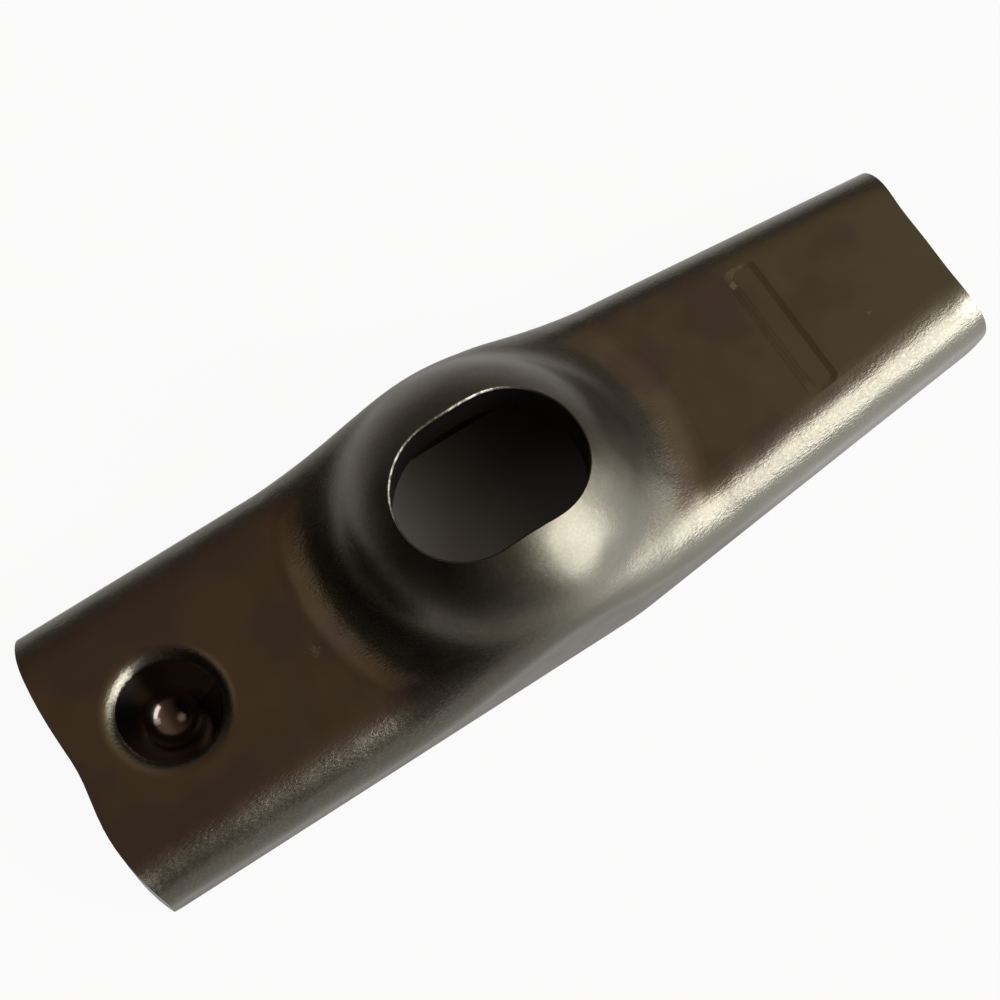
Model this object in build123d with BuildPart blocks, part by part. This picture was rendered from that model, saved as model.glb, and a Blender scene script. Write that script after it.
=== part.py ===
"""Rocker arm of a small overhead-valve engine, pressed from one piece of sheet steel.

The sheet is folded into a shallow channel: a web with a flange down each long side. A dome is pressed
out of the web around the pivot stud, a cup for the pushrod's ball end is pressed into one arm, and the
other arm narrows towards the valve. The arm lies on its two flange edges with the dome up.

Lengths are in millimetres. The origin is on the stud's axis, level with the flange edges. X runs along
the arm towards the valve, and Z points up, out of the web's outer face.
"""

import os

from build123d import *

# Sheet and channel
sheet_thickness = 2.0
bend_radius = 2.45
web_height = 3.5
pushrod_reach = 21.3
valve_reach = 23.7
arm_width = 13.8
valve_end_width = 9.7
taper_start = 3.4
taper_blend_radius = 12.0

# Dome around the stud, and the slot that lets the arm rock on it
dome_radius = 7.3
dome_rise = 5.7
dome_foot_radius = 4.0
slot_width = 6.4
slot_length = 8.9
slot_edge_chamfer = 0.1

# Cup for the pushrod's ball end
cup_position = -16.5
cup_seat_radius = 1.6
cup_depth = 2.4
cup_mouth_radius = 2.6
cup_lip_radius = 0.9
cup_wall = 1.0

# Coined mark across the valve arm
mark_position = 15.7
mark_length = 7.3
mark_width = 1.6
mark_depth = 0.06
mark_edge_run = 0.3
mark_corner_radius = 0.4

# Sheared ends, left a little out of straight by the pressing. Each row holds a place across the arm, as a
# share of the half width there, and how far the edge is drawn in at that place.
pushrod_end_edge = (
    (1.0, 1.0),
    (0.88, 0.6),
    (0.74, 0.34),
    (0.6, 0.21),
    (0.4, 0.13),
    (0.2, 0.14),
    (0.0, 0.18),
    (-0.1, 0.14),
    (-0.23, 0.01),
    (-0.5, -0.18),
    (-0.69, -0.09),
    (-0.86, 0.14),
    (-1.0, 0.5),
)
valve_end_edge = (
    (1.0, -0.15),
    (0.72, -0.13),
    (0.4, 0.0),
    (0.0, 0.0),
    (-0.54, 0.0),
    (-0.72, -0.11),
    (-0.85, -0.27),
    (-1.0, -0.44),
)
flange_corner_radius = 1.2

# The blank runs past the finished ends and flange edges, which are trimmed later.
trim_allowance = 2 * sheet_thickness
blank_start = -pushrod_reach - trim_allowance
blank_end = valve_reach + trim_allowance
half_width = arm_width / 2
side_slope = (half_width - valve_end_width / 2) / (valve_reach - taper_start)
crown_height = web_height + dome_rise
dome_centre_height = crown_height - dome_radius
cup_centre_height = web_height - cup_depth + cup_seat_radius
cup_axis = Axis((cup_position, 0, 0), (0, 0, 1))
pushrod_side = Plane(origin=(0, 0, 0), x_dir=(-1, 0, 0), z_dir=(0, 1, 0))


def pressed_form(inset: float) -> Part:
    """Return the solid under the arm's outer face, with that face moved in by inset all over."""
    disc_radius = 2 * blank_end
    with BuildPart() as form:
        # The dome is the cap of a ball that runs into the flat web through a hollow foot.
        with BuildSketch(pushrod_side):
            with Locations((0, dome_centre_height)):
                Circle(dome_radius - inset)
            with Locations((0, -trim_allowance)):
                Rectangle(disc_radius, 2 * crown_height, align=Align.MIN, mode=Mode.INTERSECT)
                Rectangle(disc_radius, trim_allowance + web_height - inset, align=Align.MIN)
        revolve(axis=Axis.Z)
        foot = form.faces().filter_by(GeomType.SPHERE).edges().group_by(Axis.Z)[0]
        fillet(foot, dome_foot_radius + inset)

        # The flanks stand upright, parallel beside the cup and drawn in towards the valve.
        with BuildSketch(Plane.XY.offset(-trim_allowance)) as plan:
            with BuildLine():
                blank_end_half_width = half_width - side_slope * (blank_end - taper_start)
                side = Polyline(
                    (blank_start, 0),
                    (blank_start, half_width),
                    (taper_start, half_width),
                    (blank_end, blank_end_half_width),
                    (blank_end, 0),
                )
                mirror(side, about=Plane.XZ)
            make_face()
            fillet(plan.vertices().group_by(Axis.X)[1], taper_blend_radius)
            offset(amount=-inset, kind=Kind.INTERSECTION)
        extrude(amount=2 * crown_height, mode=Mode.INTERSECT)

        # The bends run the whole length, over the flanks of the dome's foot too.
        shoulders = form.edges(Select.NEW).filter_by(Axis.Z, reverse=True).filter_by(Axis.Y, reverse=True)
        fillet(shoulders, bend_radius - inset)
    return form.part


outer_form = pressed_form(0)
inner_form = pressed_form(sheet_thickness)

with BuildPart() as rocker_arm:
    add(outer_form)
    add(inner_form, mode=Mode.SUBTRACT)

    # The back of the cup stands out under the web.
    with BuildSketch(Plane.XZ):
        with Locations((cup_position, cup_centre_height)):
            Circle(cup_seat_radius + cup_wall)
        with Locations((cup_position, 0)):
            Rectangle(arm_width, web_height - sheet_thickness / 2, align=Align.MIN, mode=Mode.INTERSECT)
    revolve(axis=cup_axis)

    # The cup has a round seat and steep, straight walls, and its lip is rounded into the web.
    with BuildSketch(Plane.XZ) as cup_section:
        with Locations((cup_position, cup_centre_height)):
            Circle(cup_seat_radius)
        with Locations((cup_position, crown_height)):
            Rectangle(2 * cup_mouth_radius, crown_height - web_height, align=(Align.CENTER, Align.MAX))
        make_hull()
        with Locations((cup_position, 0)):
            Rectangle(arm_width, crown_height, align=Align.MIN, mode=Mode.INTERSECT)
        with Locations((cup_position, web_height)):
            Rectangle(cup_mouth_radius + cup_lip_radius, crown_height - web_height, align=Align.MIN)
        rim = cup_section.vertices().group_by(Axis.Y)[2].sort_by(Axis.X)[0]
        fillet(rim, cup_lip_radius)
    revolve(axis=cup_axis, mode=Mode.SUBTRACT)

    # The stud's slot, punched straight through the dome.
    with BuildSketch(Plane.XY):
        SlotOverall(slot_length, slot_width)
    extrude(amount=crown_height, mode=Mode.SUBTRACT)
    outer_wall = rocker_arm.faces().filter_by(GeomType.SPHERE).sort_by(Axis.Z)[-1]
    slot_rim = outer_wall.edges().filter_by(lambda edge: abs(edge.center().Y) < dome_radius / 2)
    chamfer(slot_rim, slot_edge_chamfer)

    # The coined mark across the valve arm slopes down to its floor all round.
    for rise, spread in ((-mark_depth, -2 * mark_edge_run), (mark_depth, 2 * mark_edge_run)):
        with BuildSketch(Plane.XY.offset(web_height + rise)):
            with Locations((mark_position, 0)):
                RectangleRounded(mark_width + spread, mark_length + spread, mark_corner_radius)
    loft(mode=Mode.SUBTRACT)

    # The ends are sheared from above.
    with BuildSketch(Plane.XY) as trimmed_plan:
        with BuildLine():
            pushrod_end = Spline(
                *[(drawn_in - pushrod_reach, share * half_width) for share, drawn_in in pushrod_end_edge]
            )
            valve_end = Spline(
                *[(valve_reach - drawn_in, share * valve_end_width / 2) for share, drawn_in in valve_end_edge]
            )
            for side_end, clear_of_side in ((0, arm_width), (1, -arm_width)):
                left, right = pushrod_end @ side_end, valve_end @ side_end
                Polyline(left, (left.X, clear_of_side), (right.X, clear_of_side), right)
        make_face()
    extrude(amount=crown_height, mode=Mode.INTERSECT)
    trimmed_ends = trimmed_plan.sketch.bounding_box()

    # Seen from the side, the flanges have level edges and rounded corners.
    with BuildSketch(Plane.XZ) as side_view:
        with Locations((trimmed_ends.center().X, 0)):
            Rectangle(trimmed_ends.size.X, crown_height, align=(Align.CENTER, Align.MIN))
        fillet(side_view.vertices().group_by(Axis.Y)[0], flange_corner_radius)
    extrude(amount=arm_width, both=True, mode=Mode.INTERSECT)

rocker_arm.part.label = "rocker_arm"

os.makedirs("parts", exist_ok=True)
export_step(rocker_arm.part, "parts/rocker_arm.step")
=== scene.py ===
"""Looks of a pressed steel rocker arm: its oiled dark finish, a pale floor, soft lamps and the camera.

Lengths in the finish, the floor's shading and the camera are in millimetres, and all others are in metres.
"""

import logging
import math
from dataclasses import dataclass, field
from enum import Enum
from typing import Any, Mapping, Sequence

import bpy
from mathutils import Matrix, Vector

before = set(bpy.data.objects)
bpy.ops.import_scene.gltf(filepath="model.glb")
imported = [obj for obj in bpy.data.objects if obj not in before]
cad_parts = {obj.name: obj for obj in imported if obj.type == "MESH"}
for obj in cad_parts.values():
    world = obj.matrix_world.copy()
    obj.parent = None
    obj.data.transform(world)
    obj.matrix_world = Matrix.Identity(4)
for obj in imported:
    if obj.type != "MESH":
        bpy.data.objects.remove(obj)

log = logging.getLogger("rocker_arm")

Colour = tuple[float, float, float]
Point = tuple[float, float, float]
Range = tuple[float, float]

MM = 0.001
WHITE: Colour = (1.0, 1.0, 1.0)
BLACK: Colour = (0.0, 0.0, 0.0)
NOISE_MIDDLE = 0.5

# Level direction from the stud, out over the near flank on the valve's side
NEAR_VALVE = (0.83, -0.56)


@dataclass(frozen=True)
class Noise:
    """A soft noise whose blobs are about size across, with finer blobs laid over them."""

    size: float
    detail: float = 2.0
    roughness: float = 0.5


class Signal:
    """A number or colour that runs through a shader, with the usual arithmetic."""

    def __init__(self, recipe: "Recipe", socket: bpy.types.NodeSocket) -> None:
        """Keep the socket and the recipe that it belongs to."""
        self.recipe = recipe
        self.socket = socket

    def _math(self, operation: str, *values: Any) -> "Signal":
        """Return one Math node's result."""
        return self.recipe.signal("ShaderNodeMath", {"operation": operation}, dict(enumerate(values)))

    def __add__(self, other: Any) -> "Signal":
        """Return self + other."""
        return self._math("ADD", self, other)

    __radd__ = __add__

    def __sub__(self, other: Any) -> "Signal":
        """Return self - other."""
        return self._math("SUBTRACT", self, other)

    def __rsub__(self, other: Any) -> "Signal":
        """Return other - self."""
        return self._math("SUBTRACT", other, self)

    def __mul__(self, other: Any) -> "Signal":
        """Return self * other."""
        return self._math("MULTIPLY", self, other)

    __rmul__ = __mul__

    def __pow__(self, other: Any) -> "Signal":
        """Return self to the power of other."""
        return self._math("POWER", self, other)

    def __abs__(self) -> "Signal":
        """Return the size of self without its sign."""
        return self._math("ABSOLUTE", self)

    def sine(self) -> "Signal":
        """Return the sine of self in radians."""
        return self._math("SINE", self)

    def at_least(self, other: Any) -> "Signal":
        """Return the larger of self and other."""
        return self._math("MAXIMUM", self, other)

    def step(self, low: float, high: float, start: float = 0.0, end: float = 1.0) -> "Signal":
        """Return a smooth step from start to end as self goes from low to high.

        Args:
            low: value of self where the step begins.
            high: value of self where the step is done.
            start: result below low.
            end: result above high.

        Returns:
            The stepped value.
        """
        return self.recipe.signal(
            "ShaderNodeMapRange",
            {"interpolation_type": "SMOOTHSTEP"},
            {"Value": self, "From Min": low, "From Max": high, "To Min": start, "To Max": end},
        )

    def ring(self, centre: float, width: float) -> "Signal":
        """Return 1 where self is at centre, falling smoothly to 0 at width from it."""
        return abs(self - centre).step(0.0, width, 1.0, 0.0)


class Recipe:
    """The nodes of one material or world."""

    def __init__(self, tree: bpy.types.NodeTree) -> None:
        """Start with an empty tree."""
        self.tree = tree
        tree.nodes.clear()

    def node(
        self, kind: str, settings: Mapping[str, Any] | None = None, inputs: Mapping[Any, Any] | None = None
    ) -> bpy.types.Node:
        """Add one node.

        Args:
            kind: the node's type.
            settings: its settings, which are made before its sockets are filled.
            inputs: values, colours or signals by the name or number of their socket.

        Returns:
            The new node.
        """
        made = self.tree.nodes.new(kind)
        for name, value in (settings or {}).items():
            setattr(made, name, value)
        for key, value in (inputs or {}).items():
            if isinstance(value, Signal):
                self.tree.links.new(value.socket, made.inputs[key])
            elif isinstance(value, bpy.types.NodeSocket):
                self.tree.links.new(value, made.inputs[key])
            elif isinstance(value, tuple) and made.inputs[key].type == "RGBA":
                made.inputs[key].default_value = (*value, 1.0)
            else:
                made.inputs[key].default_value = value
        return made

    def signal(
        self,
        kind: str,
        settings: Mapping[str, Any] | None = None,
        inputs: Mapping[Any, Any] | None = None,
        output: Any = 0,
    ) -> Signal:
        """Add one node and return one of its outputs as a signal."""
        return Signal(self, self.node(kind, settings, inputs).outputs[output])

    def mix(self, share: Any, first: Any, second: Any) -> Signal:
        """Return a colour that goes from first to second as share goes from 0 to 1."""
        return self.signal("ShaderNodeMix", {"data_type": "RGBA"}, {0: share, 6: first, 7: second}, 2)

    def noise(self, where: Signal, kind: Noise, output: Any = 0) -> Signal:
        """Add a noise.

        Args:
            where: the place that it is read at.
            kind: how coarse it is.
            output: the node's output, which is its value unless its colours are named.

        Returns:
            The noise, from 0 to 1.
        """
        inputs = {
            "Vector": where,
            "Scale": 1.0 / kind.size,
            "Detail": kind.detail,
            "Roughness": kind.roughness,
        }
        return self.signal("ShaderNodeTexNoise", None, inputs, output)

    def swing(self, where: Signal, kind: Noise) -> Signal:
        """Return a noise that swings about 0."""
        return self.noise(where, kind) - NOISE_MIDDLE

    def vector(self, operation: str, *values: Any, output: Any = 0) -> Signal:
        """Return one Vector Math node's result."""
        inputs = dict(enumerate(values))
        return self.signal("ShaderNodeVectorMath", {"operation": operation}, inputs, output)

    def place(self) -> Signal:
        """Return the place on the object, in millimetres."""
        metres = self.signal("ShaderNodeTexCoord", output="Object")
        return self.signal("ShaderNodeVectorMath", {"operation": "SCALE"}, {0: metres, "Scale": 1.0 / MM})

    def split(self, vector: Signal) -> tuple[Signal, Signal, Signal]:
        """Return the three parts of a vector."""
        parts = self.node("ShaderNodeSeparateXYZ", None, {0: vector}).outputs
        return Signal(self, parts[0]), Signal(self, parts[1]), Signal(self, parts[2])

    def output(self, kind: str, share: Signal, first: bpy.types.Node, second: bpy.types.Node) -> None:
        """End the tree in a shader that goes from first to second as share goes from 0 to 1.

        Args:
            kind: the output node's type.
            share: the second shader's share.
            first: the shader where share is 0.
            second: the shader where share is 1.
        """
        both = self.node("ShaderNodeMixShader", None, {0: share, 1: first.outputs[0], 2: second.outputs[0]})
        self.node(kind, None, {"Surface": both.outputs[0]})


def length(x: Signal, y: Signal) -> Signal:
    """Return the distance that two lengths at right angles make."""
    return (x * x + y * y) ** 0.5


def out_near_valve(x: Signal, y: Signal) -> Signal:
    """Return how far a place lies from the stud towards the near flank on the valve's side."""
    return x * NEAR_VALVE[0] + y * NEAR_VALVE[1]


class Light(Enum):
    """What a lamp is for."""

    KEY = "key_softbox"
    SIDE = "side_softbox"


@dataclass(frozen=True)
class Spot:
    """A small place on the steel that is lightened: a painted glint, or a small lighter mark."""

    centre: Point
    radius: float
    strength: float


@dataclass(frozen=True)
class Surface:
    """A point of the steel: its place, its normal's upward part and its distance from the stud's axis."""

    recipe: Recipe
    mm: Signal
    x: Signal
    y: Signal
    z: Signal
    up: Signal
    around: Signal

    @classmethod
    def read(cls, recipe: Recipe) -> "Surface":
        """Make the signals of a point.

        Args:
            recipe: the material's recipe.

        Returns:
            The point.
        """
        mm = recipe.place()
        x, y, z = recipe.split(mm)
        up = recipe.split(recipe.signal("ShaderNodeNewGeometry", output="Normal"))[2]
        return cls(recipe, mm, x, y, z, up, length(x, y))


@dataclass(frozen=True)
class Masks:
    """How far each kind of finish or painted light covers a point, from 0 to 1."""

    bend: Signal
    flank_sheen: Signal
    rim: Signal
    inside: Signal
    cup: Signal
    glinted_or_scuffed: Signal


@dataclass(frozen=True)
class DarkenedSteel:
    """Oiled, darkened sheet steel that is rubbed brighter where it was bent and drawn, with painted light
    and shade in places.

    A range says where a mask begins and where it is full. A slope is the upward part of the surface's
    normal, which is 1 on the flat web and 0 on an upright flank.
    """

    name: str = "darkened_steel"

    # Colours, and how strongly each covers what lies under it
    brown: Colour = (0.128, 0.100, 0.069)
    olive: Colour = (0.131, 0.121, 0.086)
    plum: Colour = (0.106, 0.080, 0.073)
    drawn: Colour = (0.112, 0.104, 0.081)
    # Lighter steel: rubbed specks on the bends, and the painted sheen, rim highlight and glints
    bare_and_highlight: Colour = (0.36, 0.35, 0.30)
    # Painted shade for the slot's wall
    slot_wall_shade: Colour = (0.036, 0.034, 0.032)
    burnished: Colour = (0.112, 0.088, 0.080)
    plum_strength: float = 0.85
    flank_sheen_strength: float = 0.42
    rubbed_dome: float = 0.07
    rubbed_bend: float = 0.14
    rim_highlight_strength: float = 0.5

    # Brown gives way to olive along the arm, and plum clouds lie thicker beside the bends
    drift: Noise = Noise(9.0)
    drift_reach: float = 12.0
    olive_run: Range = (-4.0, 20.0)
    cloud: Noise = Noise(4.0)
    cloud_level: Range = (0.48, 0.66)
    beside_bend: Range = (2.4, 4.8)
    beside_bend_gain: float = 0.12

    # Roughness, and what is added to it in places
    roughness_web: float = 0.32
    roughness_bend: float = 0.29
    roughness_dome: float = 0.345
    roughness_dome_edge: Range = (9.5, 7.5)
    roughness_cloud: Noise = Noise(1.6, 3.0)
    roughness_cloud_gain: float = 0.12
    roughness_inside: float = 0.12
    roughness_cup: float = -0.18
    roughness_glints_and_scuffs: float = -0.06
    coat: float = 0.12
    coat_roughness: float = 0.28

    # Bends and flanks, with a painted sheen on the near flanks on the valve's side
    bend_slope: Range = (0.985, 0.86)
    bend_height: Range = (0.2, 1.2)
    flank_sheen_slope: Range = (0.80, 0.5)
    flank_sheen_run: Range = (1.0, 8.0)
    upright_slope: Range = (0.0, 0.1)
    rubbed: Noise = Noise(0.15, 3.0, 0.6)
    rubbed_level: Range = (0.40, 0.72)
    rubbed_dome_edge: Range = (7.0, 9.5)

    # Slot: a painted highlight along its far rim, which faces the lamps, and painted shade on its wall
    slot_half_straight: float = 1.25
    slot_radius: float = 3.2
    rim_middle: float = 0.05
    rim_width: float = 0.1
    rim_height: Range = (6.0, 6.6)
    rim_slope: Range = (0.2, 0.4)
    far_side: Range = (1.0, 3.0)
    far_side_lean: float = 0.3
    rim_highlight_break: Noise = Noise(0.3)
    rim_highlight_break_level: Range = (0.40, 0.60)
    wall_outer_edge: Range = (0.05, 0.02)
    wall_inner_edge: Range = (-0.3, -0.1)

    # Cup, and the painted shade along the coined mark's edges, with their places measured from the mark's
    # own middle
    cup_position: float = -16.5
    cup_edge: Range = (2.35, 2.25)
    mark_centre: float = 15.7
    mark_ends: Range = (3.65, 2.45)
    valve_edge_place: float = 0.8
    valve_edge_width: float = 0.5
    valve_edge_strength: float = 0.06
    pushrod_edge_place: float = -0.65
    pushrod_edge_width: float = 0.35
    pushrod_edge_strength: float = 0.42

    # Painted glints at corners and edges, and one small lighter mark on the web, all with ragged outlines
    glints_and_scuffs: tuple[Spot, ...] = (
        # The first four are painted glints: the pushrod end's near corner, the valve end's near corner, the
        # mark's corner and the valve end's web
        Spot((-21.0, -5.95, 3.0), 0.75, 0.7),
        Spot((23.6, -3.7, 3.1), 0.9, 0.3),
        Spot((15.05, 2.8, 3.42), 0.22, 0.35),
        Spot((19.38, -1.66, 3.5), 0.14, 0.35),
        Spot((-9.9, -1.25, 3.5), 0.30, 0.30),
    )
    spot_edge: Noise = Noise(1.0 / 6.0, 3.0)
    spot_edge_reach: float = 2.8
    spot_core: float = 0.3

    # Relief: grain, dimples, ripples, and the rings that the drawing of the dome left at its foot. A ring
    # wave turns by so many radians in a millimetre.
    stretched_slope: Range = (0.999, 0.94)
    cup_calm: float = 0.85
    grain: Noise = Noise(0.11, 2.0, 0.6)
    grain_stretch: Point = (0.45, 1.0, 1.0)
    grain_on_web: float = 0.2
    grain_on_bend: float = 0.6
    grain_in_patch: float = 1.4
    grain_dome_edge: Range = (5.5, 9.5)
    grain_dome: float = 0.45
    grain_off_dome: float = 1.25
    patch: Noise = Noise(1.5)
    patch_level: Range = (0.35, 0.65)
    dimple: Noise = Noise(0.4, 1.0)
    dimple_gain: float = 0.8
    ripple: Noise = Noise(2.6, 1.0)
    ripple_on_web: float = 2.5
    ripple_on_bend: float = 7.0
    ring_turns: float = 5.2
    ring_middle: float = 8.6
    ring_width: float = 2.6
    ring_gain: float = 0.6
    rim_burr: Noise = Noise(0.12)
    rim_burr_gain: float = 1.5
    relief_strength: float = 0.40
    relief_height: float = 0.02

    def build(self) -> bpy.types.Material:
        """Make the material.

        Returns:
            The finished material.
        """
        material = bpy.data.materials.new(self.name)
        material.use_nodes = True
        recipe = Recipe(material.node_tree)
        at = Surface.read(recipe)
        masks = self._masks(at)
        inputs = {
            "Base Color": self._colour(at, masks),
            "Metallic": 1.0,
            "Roughness": self._roughness(at, masks),
            "Normal": self._relief(at, masks),
            "Coat Weight": self.coat,
            "Coat Roughness": self.coat_roughness,
        }
        shader = recipe.node("ShaderNodeBsdfPrincipled", None, inputs)
        recipe.node("ShaderNodeOutputMaterial", None, {"Surface": shader.outputs[0]})
        return material

    def _masks(self, at: Surface) -> Masks:
        """Find out where each kind of finish and painted light lies.

        Args:
            at: the point of the steel.

        Returns:
            The masks.
        """
        rim, inside = self._slot(at)
        out = out_near_valve(at.x, at.y).step(*self.flank_sheen_run)
        return Masks(
            bend=at.up.step(*self.bend_slope) * at.z.step(*self.bend_height),
            flank_sheen=at.up.step(*self.flank_sheen_slope) * at.up.step(*self.upright_slope) * out * self.flank_sheen_strength,
            rim=rim,
            inside=inside,
            cup=self._cup(at),
            glinted_or_scuffed=self._glints_and_scuffs(at),
        )

    def _slot(self, at: Surface) -> tuple[Signal, Signal]:
        """Find the slot's edge and wall.

        Args:
            at: the point of the steel.

        Returns:
            The masks of the far rim's painted highlight and of the wall's painted shade.
        """
        past_straight = (abs(at.x) - self.slot_half_straight).at_least(0.0)
        gap = length(past_straight, at.y) - self.slot_radius
        far_side = (at.y - at.x * self.far_side_lean).step(*self.far_side)
        edge = gap.ring(self.rim_middle, self.rim_width)
        rim = edge * at.z.step(*self.rim_height) * at.up.step(*self.rim_slope) * far_side
        return rim, gap.step(*self.wall_outer_edge) * gap.step(*self.wall_inner_edge)

    def _cup(self, at: Surface) -> Signal:
        """Return 1 on the seat that the pushrod's ball has burnished."""
        return length(at.x - self.cup_position, at.y).step(*self.cup_edge) * at.up.step(*self.upright_slope)

    def _glints_and_scuffs(self, at: Surface) -> Signal:
        """Find the small places that are lightened: the painted glints and one lighter mark on the web.

        Args:
            at: the point of the steel.

        Returns:
            Their mask.
        """
        colours = at.recipe.noise(at.mm, self.spot_edge, "Color")
        ragged = at.recipe.vector("SUBTRACT", colours, (NOISE_MIDDLE,) * 3)
        mask: Any = 0.0
        for spot in self.glints_and_scuffs:
            reach = (self.spot_edge_reach * spot.radius,) * 3
            warped = at.recipe.vector("MULTIPLY_ADD", ragged, reach, at.mm)
            away = at.recipe.vector("DISTANCE", warped, spot.centre, output="Value")
            mask = away.step(spot.radius, self.spot_core * spot.radius) * spot.strength + mask
        return mask

    def _mark_edge_shade(self, at: Surface) -> Signal:
        """Find the painted shade along the coined mark's two long edges.

        Args:
            at: the point of the steel.

        Returns:
            The mask, stronger on the edge towards the pushrod.
        """
        across = at.x - self.mark_centre
        valve_edge = across.ring(self.valve_edge_place, self.valve_edge_width)
        pushrod_edge = across.ring(self.pushrod_edge_place, self.pushrod_edge_width)
        both = valve_edge * self.valve_edge_strength + pushrod_edge * self.pushrod_edge_strength
        return both * abs(at.y).step(*self.mark_ends)

    def _colour(self, at: Surface, masks: Masks) -> Signal:
        """Lay the colours over one another.

        Args:
            at: the point of the steel.
            masks: where each kind of finish and painted light lies.

        Returns:
            The base colour.
        """
        recipe = at.recipe
        drift = recipe.swing(at.mm, self.drift) * self.drift_reach
        colour = recipe.mix((at.x + drift).step(*self.olive_run), self.brown, self.olive)
        beside = abs(at.y).step(*self.beside_bend) * self.beside_bend_gain
        clouds = (recipe.noise(at.mm, self.cloud) + beside).step(*self.cloud_level)
        colour = recipe.mix(clouds * self.plum_strength, colour, self.plum)
        colour = recipe.mix(masks.bend, colour, self.drawn)
        # Painted sheen on the near flanks on the valve's side, which face the lamps
        colour = recipe.mix(masks.flank_sheen, colour, self.bare_and_highlight)
        rubbed = recipe.noise(at.mm, self.rubbed).step(*self.rubbed_level) * masks.bend
        rubbed = rubbed * at.around.step(*self.rubbed_dome_edge, self.rubbed_dome, self.rubbed_bend)
        colour = recipe.mix(rubbed, colour, self.bare_and_highlight)
        # Painted shade along the coined mark's long edges
        colour = recipe.mix(self._mark_edge_shade(at), colour, BLACK)
        colour = recipe.mix(masks.cup, colour, self.burnished)
        # Painted shade on the slot's wall
        colour = recipe.mix(masks.inside, colour, self.slot_wall_shade)
        # Painted highlight along the slot's far rim, broken up by noise
        highlight_breaks = recipe.noise(at.mm, self.rim_highlight_break).step(*self.rim_highlight_break_level)
        colour = recipe.mix(masks.rim * highlight_breaks * self.rim_highlight_strength, colour, self.bare_and_highlight)
        # Painted glints, and one small lighter mark on the web
        return recipe.mix(masks.glinted_or_scuffed, colour, self.bare_and_highlight)

    def _roughness(self, at: Surface, masks: Masks) -> Signal:
        """Work out the roughness.

        Args:
            at: the point of the steel.
            masks: where each kind of finish lies.

        Returns:
            The roughness, lower where the steel was bent, burnished or rubbed.
        """
        clouds = at.recipe.swing(at.mm, self.roughness_cloud) * self.roughness_cloud_gain
        drawn = at.around.step(*self.roughness_dome_edge, self.roughness_bend, self.roughness_dome)
        base = masks.bend * (drawn - self.roughness_web) + self.roughness_web + clouds
        base = base + masks.inside * self.roughness_inside
        return base + masks.cup * self.roughness_cup + masks.glinted_or_scuffed * self.roughness_glints_and_scuffs

    def _relief(self, at: Surface, masks: Masks) -> Signal:
        """Add up the sheet's fine relief, which is coarser where the bending stretched it.

        Args:
            at: the point of the steel.
            masks: where each kind of finish lies.

        Returns:
            The surface's normal.
        """
        recipe = at.recipe
        stretched = at.up.step(*self.stretched_slope) * (1.0 - masks.cup * self.cup_calm)
        fibres = recipe.signal("ShaderNodeMapping", None, {"Vector": at.mm, "Scale": self.grain_stretch})
        patches = recipe.noise(at.mm, self.patch).step(*self.patch_level)
        coarse = stretched * (patches * self.grain_in_patch + self.grain_on_bend) + self.grain_on_web
        off_dome = at.around.step(*self.grain_dome_edge, self.grain_dome, self.grain_off_dome)
        grain = recipe.swing(fibres, self.grain) * coarse * off_dome
        dimples = recipe.swing(at.mm, self.dimple) * (stretched * patches * self.dimple_gain)
        ripple = recipe.swing(at.mm, self.ripple) * (stretched * self.ripple_on_bend + self.ripple_on_web)
        near_foot = at.around.ring(self.ring_middle, self.ring_width)
        rings = (at.around * self.ring_turns).sine() * near_foot * self.ring_gain
        burr = recipe.noise(at.mm, self.rim_burr) * masks.rim * self.rim_burr_gain
        height = grain + dimples + ripple + rings + burr
        inputs = {"Strength": self.relief_strength, "Distance": self.relief_height * MM, "Height": height}
        return recipe.signal("ShaderNodeBump", None, inputs)


@dataclass
class RockerArm:
    """The pressed arm, which is one piece."""

    node: str = "rocker_arm"
    finish: DarkenedSteel = DarkenedSteel()

    def dress(self, nodes: Mapping[str, bpy.types.Object]) -> bpy.types.Object:
        """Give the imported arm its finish.

        Args:
            nodes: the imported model's nodes by name.

        Returns:
            The dressed node.
        """
        arm = nodes[self.node]
        material = self.finish.build()
        for slot in arm.material_slots:
            slot.material = material
        log.info("%s: dressed in %s, %d faces", arm.name, material.name, len(arm.data.polygons))
        return arm


@dataclass(frozen=True)
class ArmOutline:
    """The arm's outline on the floor, in millimetres."""

    middle: float = 1.2
    half_length: float = 22.3
    half_width: float = 6.9
    taper_start: float = 3.4
    taper: float = 0.101

    def beyond(self, x: Signal, y: Signal) -> Signal:
        """Measure how far a place on the floor lies outside the outline.

        Args:
            x: the place along the arm.
            y: the place across the arm.

        Returns:
            The distance, which is negative under the arm.
        """
        beyond_end = abs(x - self.middle) - self.half_length
        beyond_side = abs(y) - self.half_width + (x - self.taper_start).at_least(0.0) * self.taper
        return beyond_end.at_least(beyond_side)


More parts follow.
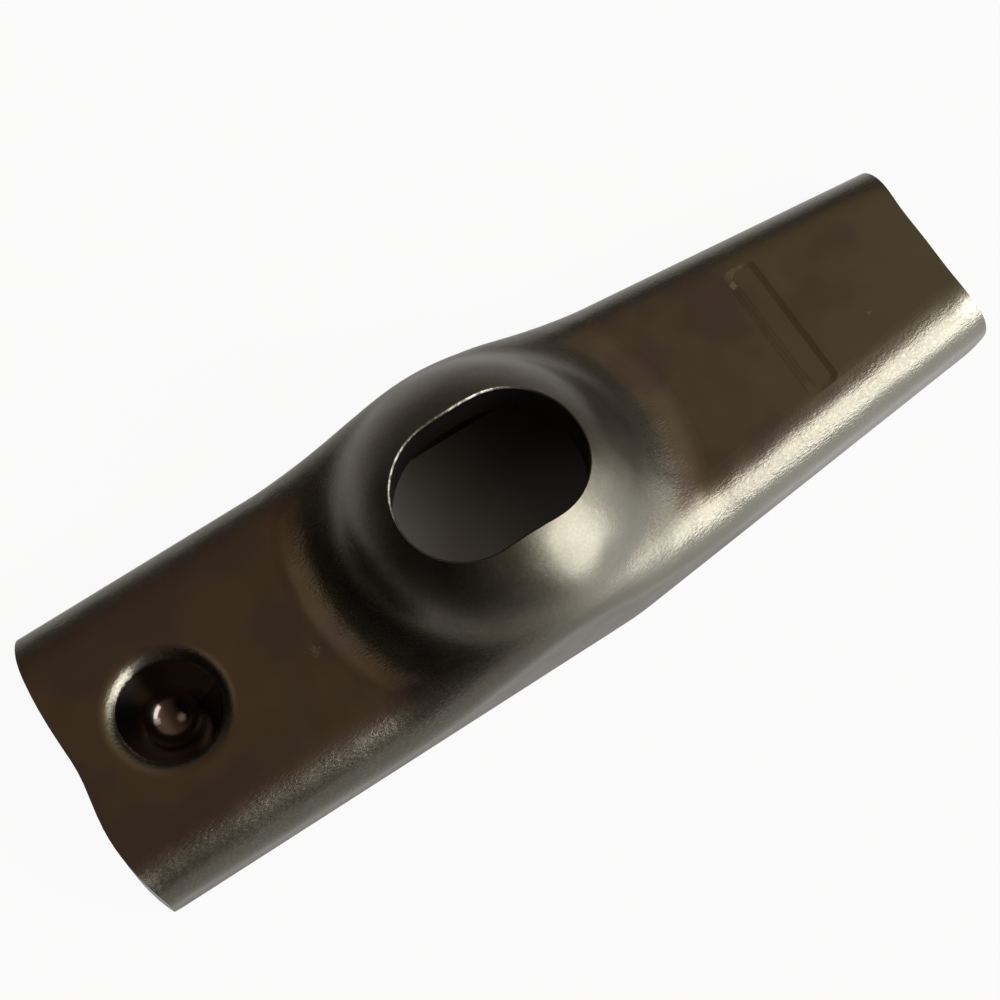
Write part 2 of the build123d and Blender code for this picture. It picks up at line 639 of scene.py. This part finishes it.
@dataclass
class Floor:
    """A plain pale floor that runs out past every view.

    To the camera it is white, and near the arm to the steel's gloss as well. All other light meets plain
    paper. Its radius is in metres, and its other lengths are in millimetres.
    """

    radius: float = 6.0
    sides: int = 96
    colour: Colour = (0.55, 0.55, 0.55)
    roughness: float = 0.9
    specular: float = 0.1
    shine: float = 0.94

    # Shade under the arm, which shows through the slot, and how it opens along the arm
    deep_shadow: Colour = (0.20, 0.22, 0.25)
    open_shadow: Colour = (0.72, 0.78, 0.88)
    shadow_run: Range = (3.0, -6.0)
    shadow_edge: Range = (-1.5, 0.0)

    # White that the steel mirrors: part of it all round, and all of it in a wedge on the near side
    mirrored: float = 0.5
    near_reach: Range = (30.0, 6.0)
    wedge_reach: Range = (120.0, 30.0)
    wedge_run: Range = (6.0, 16.0)
    wedge_side: Range = (0.0, -4.0)
    arm: ArmOutline = ArmOutline()

    def build(self) -> bpy.types.Object:
        """Make the floor, which isn't part of the arm.

        Returns:
            The floor.
        """
        bpy.ops.object.select_all(action="DESELECT")
        bpy.ops.mesh.primitive_circle_add(vertices=self.sides, radius=self.radius, fill_type="NGON")
        floor = bpy.context.object
        floor.name = "floor"
        floor.data.materials.append(self._paper())
        log.info("floor: radius %.1f m", self.radius)
        return floor

    def _paper(self) -> bpy.types.Material:
        """Make the floor's material.

        Returns:
            The material, as paper for light that spreads and as white for the camera and for gloss.
        """
        material = bpy.data.materials.new("pale_floor")
        material.use_nodes = True
        recipe = Recipe(material.node_tree)
        x, y, _ = recipe.split(recipe.place())
        beyond = self.arm.beyond(x, y)
        outside = beyond.step(*self.shadow_edge)
        shadow = recipe.mix(x.step(*self.shadow_run), self.deep_shadow, self.open_shadow)
        colour = recipe.mix(outside, shadow, self.colour)
        inputs = {"Base Color": colour, "Roughness": self.roughness, "Specular IOR Level": self.specular}
        paper = recipe.node("ShaderNodeBsdfPrincipled", None, inputs)
        white = recipe.node("ShaderNodeEmission", None, {"Color": WHITE, "Strength": 1.0})
        wedge = out_near_valve(x, y).step(*self.wedge_run) * y.step(*self.wedge_side)
        share = outside * self._looked_at(recipe, beyond, wedge) * self.shine
        recipe.output("ShaderNodeOutputMaterial", share, paper, white)
        return material

    def _looked_at(self, recipe: Recipe, beyond: Signal, wedge: Signal) -> Signal:
        """Find out how white a ray meets the floor.

        Args:
            recipe: the floor's recipe.
            beyond: distance outside the arm's outline.
            wedge: 1 in the wedge that the steel mirrors as fully white.

        Returns:
            1 for a ray from the camera, and up to that for one that the steel reflects.
        """
        path = recipe.node("ShaderNodeLightPath").outputs
        near = beyond.step(*self.near_reach) * self.mirrored
        far = beyond.step(*self.wedge_reach) * wedge
        by_gloss = Signal(recipe, path["Is Glossy Ray"]) * near.at_least(far)
        return by_gloss.at_least(Signal(recipe, path["Is Camera Ray"]))


@dataclass
class Softbox:
    """One lamp, aimed at the arm, with angles in degrees, lengths in metres and power in watts."""

    use: Light
    azimuth: float
    elevation: float
    distance: float
    width: float
    height: float
    power: float
    colour: Colour = WHITE
    aim: Point = (0.004, 0.0, 0.004)

    def build(self) -> bpy.types.Object:
        """Make the lamp.

        Returns:
            The lamp.
        """
        turn, rise = math.radians(self.azimuth), math.radians(self.elevation)
        away = Vector((math.cos(turn) * math.cos(rise), math.sin(turn) * math.cos(rise), math.sin(rise)))
        data = bpy.data.lights.new(self.use.value, "AREA")
        data.shape = "RECTANGLE"
        data.size = self.width
        data.size_y = self.height
        data.energy = self.power
        data.color = self.colour
        lamp = bpy.data.objects.new(self.use.value, data)
        lamp.location = Vector(self.aim) + away * self.distance
        lamp.rotation_mode = "QUATERNION"
        lamp.rotation_quaternion = (-away).to_track_quat("-Z", "Y")
        lamp.visible_camera = False
        bpy.context.scene.collection.objects.link(lamp)
        log.info("%s: %.2f W from %.0f, %.0f degrees", lamp.name, self.power, self.azimuth, self.elevation)
        return lamp


@dataclass(frozen=True)
class Patch:
    """A part of the room with a colour of its own, over a range of cosines from its middle."""

    colour: Colour
    towards: Point
    spread: Range


@dataclass
class Studio:
    """The floor, the lamps and the room round them.

    A run says over which rightward or upward parts of a direction one colour gives way to the next.
    """

    floor: Floor = field(default_factory=Floor)
    lamps: Sequence[Softbox] = (
        Softbox(
            Light.KEY, azimuth=-52.0, elevation=23.0, distance=0.45, width=0.32, height=0.34, power=2.75
        ),
        Softbox(
            Light.SIDE, azimuth=-18.0, elevation=24.0, distance=0.45, width=0.15, height=0.48, power=0.55
        ),
    )
    overhead: Colour = (0.23, 0.160, 0.105)
    overhead_right: Colour = (0.54, 0.425, 0.30)
    right_run: Range = (0.0, 0.55)
    horizon: Colour = (0.13, 0.125, 0.12)
    horizon_run: Range = (0.75, 0.15)
    dark_side: Patch = Patch((0.010, 0.010, 0.010), (-0.94, 0.0, 0.34), (0.2, 0.85))
    window: Patch = Patch((0.95, 0.80, 0.60), (-0.39, 0.25, 0.886), (0.955, 1.0))

    def build(self) -> None:
        """Make the room, which the camera sees white and the steel mirrors in its own colours."""
        self.floor.build()
        for lamp in self.lamps:
            lamp.build()
        world = bpy.data.worlds.new("studio")
        world.use_nodes = True
        bpy.context.scene.world = world
        recipe = Recipe(world.node_tree)
        lit = recipe.node("ShaderNodeBackground", None, {"Color": self._room(recipe), "Strength": 1.0})
        seen = recipe.node("ShaderNodeBackground", None, {"Color": WHITE, "Strength": 1.0})
        looking = recipe.signal("ShaderNodeLightPath", output="Is Camera Ray")
        recipe.output("ShaderNodeOutputWorld", looking, lit, seen)
        log.info("studio: %d lamps", len(self.lamps))

    def _room(self, recipe: Recipe) -> Signal:
        """Colour the room.

        Args:
            recipe: the world's recipe.

        Returns:
            The colour by direction.
        """
        way = recipe.signal("ShaderNodeTexCoord", output="Generated")
        right, _, rise = recipe.split(way)
        above = recipe.mix(right.step(*self.right_run), self.overhead, self.overhead_right)
        colour = recipe.mix(rise.step(*self.horizon_run), above, self.horizon)
        for patch in (self.dark_side, self.window):
            facing = recipe.vector("DOT_PRODUCT", way, patch.towards, output="Value")
            colour = recipe.mix(facing.step(*patch.spread), colour, patch.colour)
        return colour


@dataclass
class PhotoCamera:
    """The camera at the photograph's place, with angles in degrees and lengths in millimetres."""

    turn: float = 33.565
    elevation: float = 71.033
    roll: float = 0.158
    aim_offset: tuple[float, float] = (-0.423, 0.335)
    distance: float = 109.324
    aim_height: float = 3.5
    focal_pixels: float = 2487.2
    frame_pixels: float = 1000.0
    sensor: float = 36.0
    clip: Range = (5.0, 50000.0)

    def build(self) -> bpy.types.Object:
        """Make the camera and set it as the scene's own.

        Returns:
            The camera.
        """
        turn, rise, roll = (math.radians(a) for a in (self.turn, self.elevation, self.roll))
        right = Vector((math.cos(turn), -math.sin(turn), 0.0))
        level = Vector((math.sin(turn), math.cos(turn), 0.0))
        ahead = math.cos(rise) * level - math.sin(rise) * Vector((0.0, 0.0, 1.0))
        down = ahead.cross(right)
        rolled_right = math.cos(roll) * right - math.sin(roll) * down
        rolled_down = math.sin(roll) * right + math.cos(roll) * down
        aim = Vector((0.0, 0.0, self.aim_height))
        across, below = self.aim_offset
        place = (aim - across * rolled_right - below * rolled_down - self.distance * ahead) * MM
        data = bpy.data.cameras.new("camera")
        data.sensor_width = self.sensor
        data.lens = self.focal_pixels * self.sensor / self.frame_pixels
        data.clip_start, data.clip_end = (edge * MM for edge in self.clip)
        camera = bpy.data.objects.new("camera", data)
        axes = Matrix((rolled_right, -rolled_down, -ahead)).transposed()
        camera.matrix_world = Matrix.Translation(place) @ axes.to_4x4()
        bpy.context.scene.collection.objects.link(camera)
        bpy.context.scene.camera = camera
        log.info("camera: %.1f mm lens at %s", data.lens, tuple(round(c / MM, 1) for c in place))
        return camera


def main() -> None:
    """Dress the arm and set the scene round it."""
    logging.basicConfig(level=logging.INFO, format="%(name)s %(message)s")
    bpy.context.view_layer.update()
    bpy.context.scene.view_settings.view_transform = "Standard"
    RockerArm().dress(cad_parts)
    Studio().build()
    PhotoCamera().build()


if __name__ == "__main__":
    main()
